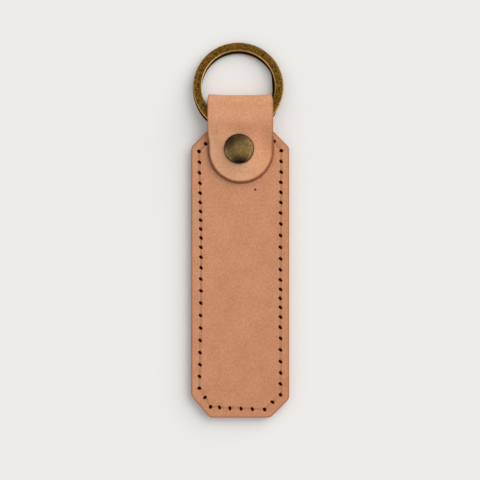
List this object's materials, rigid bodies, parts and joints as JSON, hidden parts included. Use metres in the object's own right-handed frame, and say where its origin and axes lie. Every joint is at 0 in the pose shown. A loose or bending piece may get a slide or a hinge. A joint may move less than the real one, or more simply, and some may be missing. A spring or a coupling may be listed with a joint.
{
  "type": "leather keychain",
  "caption": "Leather key fob: two sewn layers with cut corners, and a strap folded round a split ring and closed by a press stud.",
  "frame": {"origin": "centre of the tag's flat back face, on which the keychain lies", "axes": "+Y along the tag towards the split ring, +Z out of the front face, +X to the right seen from the front"},
  "size_m": [0.0324, 0.1247, 0.0093],
  "materials": {
    "tan_leather": "smooth natural vegetable-tanned",
    "strap_leather": "smooth natural vegetable-tanned",
    "antique_brass": "antiqued, polished on the edges",
    "spring_steel": "bright drawn wire",
    "sewing_thread": "waxed linen"
  },
  "bodies": {
    "tag": {"front_panel": "tan_leather", "back_panel": "tan_leather", "strap_fold": "strap_leather", "face_thread": "sewing_thread", "back_thread": "sewing_thread", "snap_stud": "antique_brass", "stud_post": "antique_brass"},
    "flap": {"strap_flap": "strap_leather", "cap_shell": "antique_brass", "cap_rivet": "antique_brass", "snap_socket": "antique_brass", "socket_spring": "spring_steel"},
    "ring": {"split_ring": "antique_brass"}
  },
  "joints": [
    {"name": "flap_open", "type": "hinge", "parent": "tag", "child": "flap", "pos_m": [0, 0.05585, 0.00355], "axis": [-1, 0, 0], "range_deg": [0, 150], "deforming": ["strap_fold", "socket_spring"]},
    {"name": "ring_spin", "type": "hinge", "parent": "tag", "child": "ring", "pos_m": [0, 0.06207, 0.0029], "axis": [0, 0.12, 0.9928], "continuous": true}
  ]
}
